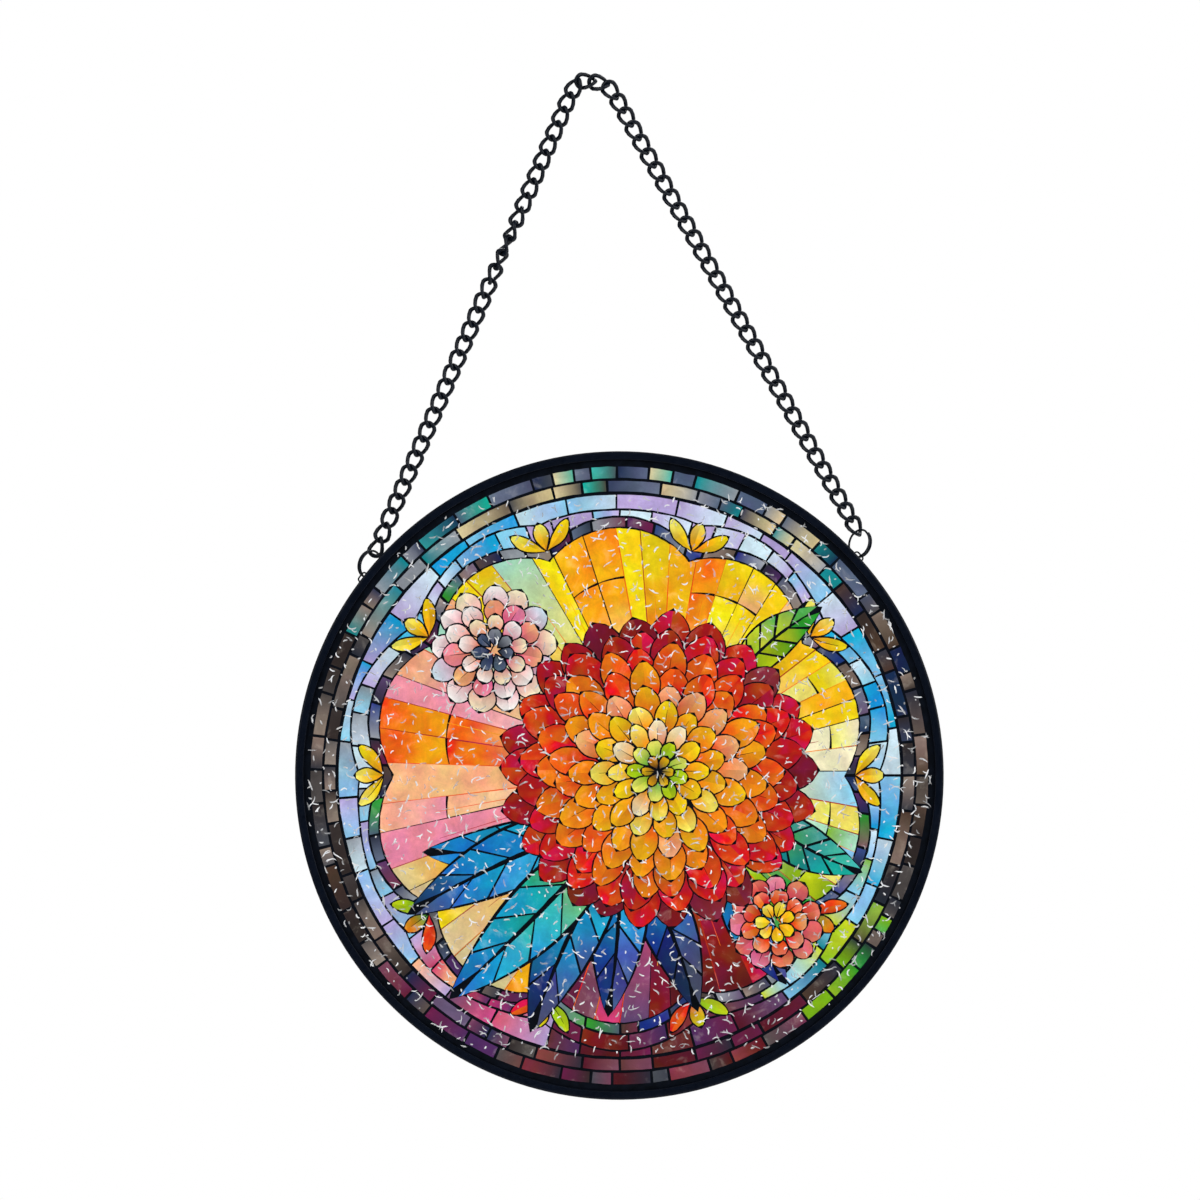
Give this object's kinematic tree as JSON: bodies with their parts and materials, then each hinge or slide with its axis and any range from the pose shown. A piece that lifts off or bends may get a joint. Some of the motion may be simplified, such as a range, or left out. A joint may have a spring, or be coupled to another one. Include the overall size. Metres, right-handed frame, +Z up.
{
  "type": "suncatcher",
  "caption": "Round painted-glass suncatcher in a black metal channel rim, hung by a black curb chain from two wire eyes",
  "frame": {"origin": "Where a hook touches the underside of the two top links of the chain", "axes": "+Z up, the front of the panel faces -Y, +X to the right as seen from the front"},
  "size_m": [0.15, 0.0074, 0.2382],
  "materials": {
    "painted_glass": "gloss",
    "black_rim": "satin",
    "black_wire": "satin"
  },
  "bodies": {
    "root": {"glass_disc": "painted_glass", "rim": "black_rim", "eye_left": "black_wire", "eye_right": "black_wire", "jump_ring_left": "black_wire", "jump_ring_right": "black_wire", "chain_left": "black_wire", "chain_right": "black_wire"}
  },
  "joints": []
}
